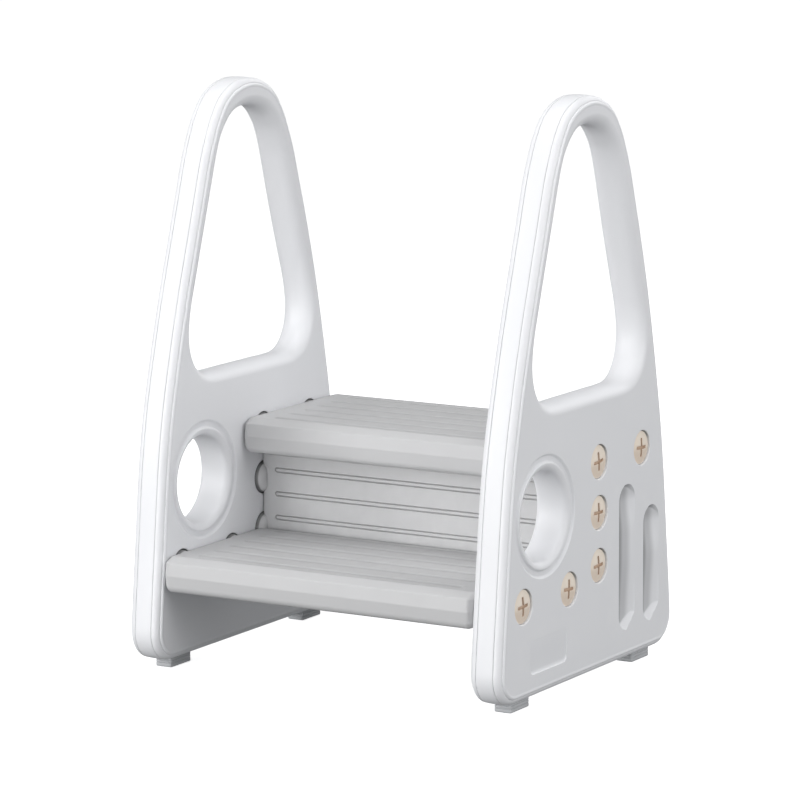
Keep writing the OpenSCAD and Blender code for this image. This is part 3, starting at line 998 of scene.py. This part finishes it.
def screw_skin():
    """A screw along x, its head outwards, with x = 0 under the head."""
    skin = Surface()
    dome_r = (HEAD_R ** 2 + DOME_RISE ** 2) / (2 * DOME_RISE)
    dome = lambda y, z: HEAD_H - dome_r + math.sqrt(dome_r ** 2 - y * y - z * z)
    edge_r = HEAD_R - 0.9
    edge_x = dome(edge_r, 0)
    rim = [(0.0, HEAD_R - 0.8), (0.25, HEAD_R - 0.25), (0.8, HEAD_R), (edge_x - 1.0, HEAD_R),
           (edge_x - 0.45, HEAD_R - 0.12), (edge_x - 0.12, HEAD_R - 0.45), (edge_x, edge_r)]
    under, top = turned(skin, (0, 0), rim, 64)
    cross = cross_outline()
    slopes = [(0.0, 0.0), (0.12, 0.1), (0.35, 0.2), (CROSS_DEPTH * 0.6, 0.42),
              (CROSS_DEPTH - 0.25, 0.6), (CROSS_DEPTH, 0.85)]
    # Painted shade deepening into the cross recess
    mouth, floor = skin.loft([[(dome(*p) - d, *q) for p, q in zip(cross, inset(cross, e))]
                              for d, e in slopes], [0.18, 0.45] + [CROSS_PAINTED_SHADE] * 4)
    head = len(skin.points)
    skin.fill([top, mouth], 0, dome, 1, 2.4)
    # Painted shade on the lower part of the head, where less light falls
    for i in [*top, *range(head, len(skin.points))]:
        skin.painted_shades[i] = HEAD_PAINTED_SHADE * float(ease((3 - skin.points[i][2]) / 8))
    # Painted shade on the cross recess's floor
    inner = len(skin.points)
    skin.fill([floor], 0, lambda y, z: dome(y, z) - CROSS_DEPTH, 1, 3)
    skin.painted_shades[inner:] = [CROSS_PAINTED_SHADE] * (len(skin.points) - inner)
    shank = []
    count = 32
    for x in np.arange(0.0, -SHANK, -0.5):
        depth_in_thread = (x + SHANK) / THREAD_PITCH
        fade = float(ease((THREADED - (x + SHANK)) / 4)) if x + SHANK < THREADED + 4 else 0.0
        tip = float(ease((x + SHANK) / 3))
        ring = []
        for k in range(count):
            phase = (depth_in_thread + k / count) % 1.0
            valley = float(ease(abs(phase - 0.5) * 4 - 0.6)) * THREAD_HEIGHT * fade
            r = (THREAD_R - valley) * (0.82 + 0.18 * tip)
            a = -2 * math.pi * k / count
            ring.append((x, r * math.cos(a), r * math.sin(a)))
        shank.append(ring)
    neck, end = skin.loft(shank)
    skin.fill([under, neck], 0, level(0.0), -1, 4)
    skin.fill([end], 0, level(shank[-1][0][0]), -1, 3)
    return skin


# ---------------------------------------------------------------- feet

def foot_skin(size):
    """A rubber foot about the middle of its underside, with its plug on top."""
    width, length, height = size
    foot_h = height - PLUG[2]
    skin = Surface()
    rings = []
    edge = 1.4
    profile = [(0.0, edge), (0.25, edge * 0.45), (0.7, edge * 0.15), (edge, 0.0)]
    for groove in (0.4 * foot_h, 0.7 * foot_h):
        profile += [(groove - 0.55, 0.0), (groove - 0.4, 0.12), (groove - 0.25, 0.8),
                    (groove + 0.25, 0.8), (groove + 0.4, 0.12), (groove + 0.55, 0.0)]
    profile += [(foot_h - 0.7, 0.0), (foot_h - 0.2, 0.2), (foot_h, 0.7)]
    loop = rounded_rect((0, 0), (width, length), 2.5, 3.0)
    for z, e in profile:
        rings.append([(p[0], p[1], z) for p in inset(loop, e)])
    under, top = skin.loft(rings)
    skin.fill([under], 2, level(0.0), -1, 6)
    plug = rounded_rect((0, 0), PLUG[:2], 1.5, 3.0)
    neck, tip = skin.loft([[(p[0], p[1], z) for p in inset(plug, e)]
                           for z, e in ((foot_h, 0.0), (height - 0.8, 0.0),
                                        (height - 0.2, 0.25), (height, 0.8))])
    skin.fill([top, neck], 2, level(foot_h), 1, 5)
    skin.fill([tip], 2, level(height), 1, 5)
    return skin


# ---------------------------------------------------------------- assembly

SIDES = {"left": -1, "right": 1}


def axis_of(screw):
    """Where a screw's axis passes, as (y, z)."""
    low, high = box_mm(screw)
    return ((low.y + high.y) / 2, (low.z + high.z) / 2)


# The screws of each tread and the riser, and each one's turn of the cross in degrees
SCREWS = {
    "lower_tread": {"lower_tread_front_screw": 3, "lower_tread_rear_screw": -4},
    "riser_board": {"riser_lower_screw": 2, "riser_upper_screw": -2},
    "upper_tread": {"upper_tread_front_screw": 5, "upper_tread_rear_screw": -3},
}
axes = {node: [axis_of("right_" + s) for s in screws] for node, screws in SCREWS.items()}

panel = side_panel_skin([at for group in axes.values() for at in group])
for word, side in SIDES.items():
    node = word + "_side_panel"
    make_piece(node + "_skin", panel, on_side(side), panel_plastic, [node])

for node in ("lower_tread", "upper_tread"):
    as_piece(node + "_skin", tread_mesh(node, axes[node]), tread_plastic,
             [node])
as_piece("riser_board_skin", riser_mesh(axes["riser_board"]), tread_plastic,
         ["riser_board"])

turns = {name: turn for screws in SCREWS.values() for name, turn in screws.items()}
screw = screw_skin()
for word, side in SIDES.items():
    for name, turn in turns.items():
        y, z = axis_of(word + "_" + name)
        c, s = math.cos(math.radians(turn)), math.sin(math.radians(turn))
        placed = lambda p, y=y, z=z, c=c, s=s, side=side: (
            side * (PANEL_X + POCKET_FLOOR + p[0]) * MM,
            (y + c * p[1] - s * p[2]) * MM,
            (z + s * p[1] + c * p[2]) * MM)
        node = word + "_" + name
        make_piece(node + "_body", screw, placed, screw_plastic, [node])

for word in SIDES:
    for end in ("front", "rear"):
        node = word + "_" + end + "_foot"
        low, high = box_mm(node)
        foot = foot_skin(high - low)
        placed = lambda p, low=low, high=high: (
            ((low.x + high.x) / 2 + p[0]) * MM, ((low.y + high.y) / 2 + p[1]) * MM,
            (low.z + p[2]) * MM)
        make_piece(node + "_body", foot, placed, foot_rubber, [node])


# ---------------------------------------------------------------- stage

def area_light(name, place, size, power):
    """A soft light aimed at the stool's middle and unseen by the camera."""
    data = bpy.data.lights.new(name, "AREA")
    data.shape = "RECTANGLE"
    data.size, data.size_y = size
    data.energy = power
    light = bpy.data.objects.new(name, data)
    light.location = place
    light.rotation_euler = (centre - Vector(place)).to_track_quat("-Z", "Y").to_euler()
    light.visible_camera = False
    bpy.context.scene.collection.objects.link(light)


centre = (cad_bounds[0] + cad_bounds[1]) / 2
# Name, place and size in metres, and power in watts
LIGHTS = [
    ("key_light", (-0.5, -2.6, 2.7), (2.4, 2.0), 15),
    ("front_left_light", (-2.2, -2.8, 1.1), (1.6, 1.6), 50),
    ("low_front_light", (-0.3, -3.4, 0.35), (2.6, 0.7), 44),
    ("top_light", (0.0, 0.2, 2.8), (2.0, 2.0), 30),
    ("side_light", (3.2, -0.3, 1.2), (1.8, 1.8), 49),
    ("back_light", (0.6, 3.0, 1.6), (2.0, 2.0), 18),
]
for light in LIGHTS:
    area_light(*light)


def plain_world():
    """Soft light from all round, dimmer from below; a white backdrop."""
    world = bpy.data.worlds.new("studio")
    bpy.context.scene.world = world
    world.use_nodes = True
    nodes, links = world.node_tree.nodes, world.node_tree.links
    nodes.clear()
    output = nodes.new("ShaderNodeOutputWorld")
    seen, ambient = nodes.new("ShaderNodeBackground"), nodes.new("ShaderNodeBackground")
    seen.inputs["Color"].default_value = (1, 1, 1, 1)
    seen.inputs["Strength"].default_value = 1.0
    ambient.inputs["Color"].default_value = (0.97, 0.985, 1, 1)
    direction = nodes.new("ShaderNodeTexCoord")
    parts = nodes.new("ShaderNodeSeparateXYZ")
    links.new(direction.outputs["Generated"], parts.inputs["Vector"])
    rise = nodes.new("ShaderNodeMapRange")
    rise.interpolation_type = "SMOOTHSTEP"
    rise.inputs["From Min"].default_value = -0.5
    rise.inputs["From Max"].default_value = 0.5
    rise.inputs["To Min"].default_value = 0.2
    rise.inputs["To Max"].default_value = 0.27
    links.new(parts.outputs["Z"], rise.inputs["Value"])
    links.new(rise.outputs["Result"], ambient.inputs["Strength"])
    path = nodes.new("ShaderNodeLightPath")
    choose = nodes.new("ShaderNodeMixShader")
    links.new(path.outputs["Is Camera Ray"], choose.inputs["Fac"])
    links.new(ambient.outputs["Background"], choose.inputs[1])
    links.new(seen.outputs["Background"], choose.inputs[2])
    links.new(choose.outputs["Shader"], output.inputs["Surface"])


def plain_floor():
    """A wide pale floor. Light from the world passes through it to the stool."""
    mesh = bpy.data.meshes.new("floor")
    bm = bmesh.new()
    bmesh.ops.create_circle(bm, cap_ends=True, radius=40, segments=96)
    bm.to_mesh(mesh)
    bm.free()
    floor = bpy.data.objects.new("floor", mesh)
    bpy.context.scene.collection.objects.link(floor)
    material = bpy.data.materials.new("floor_paint")
    material.use_nodes = True
    shader = material.node_tree.nodes["Principled BSDF"]
    shader.inputs["Base Color"].default_value = (0.9, 0.9, 0.9, 1)
    shader.inputs["Roughness"].default_value = 0.9
    shader.inputs["Specular IOR Level"].default_value = 0.1
    shader.inputs["Emission Color"].default_value = (1, 1, 1, 1)
    shader.inputs["Emission Strength"].default_value = 0.8
    mesh.materials.append(material)
    floor.visible_diffuse = False
    floor.visible_glossy = False


plain_world()
plain_floor()


def studio_camera():
    """Camera at a three-quarter view from the stool's right front."""
    azimuth, elevation, roll = (math.radians(a) for a in (30.76, 9.68, -0.26))
    distance = 4.4
    aim = centre + Vector((31.9, -57.6, -13.4)) * MM
    back = Vector((math.sin(azimuth) * math.cos(elevation),
                   -math.cos(azimuth) * math.cos(elevation), math.sin(elevation)))
    data = bpy.data.cameras.new("camera")
    data.lens = 194.98
    data.sensor_width = 36
    data.clip_end = 100
    camera = bpy.data.objects.new("camera", data)
    bpy.context.scene.collection.objects.link(camera)
    camera.location = aim + back * distance
    look = (-back).to_track_quat("-Z", "Y").to_matrix()
    camera.rotation_euler = (look @ Matrix.Rotation(roll, 3, "Z")).to_euler()
    bpy.context.scene.camera = camera


studio_camera()
bpy.context.scene.view_settings.view_transform = "Standard"
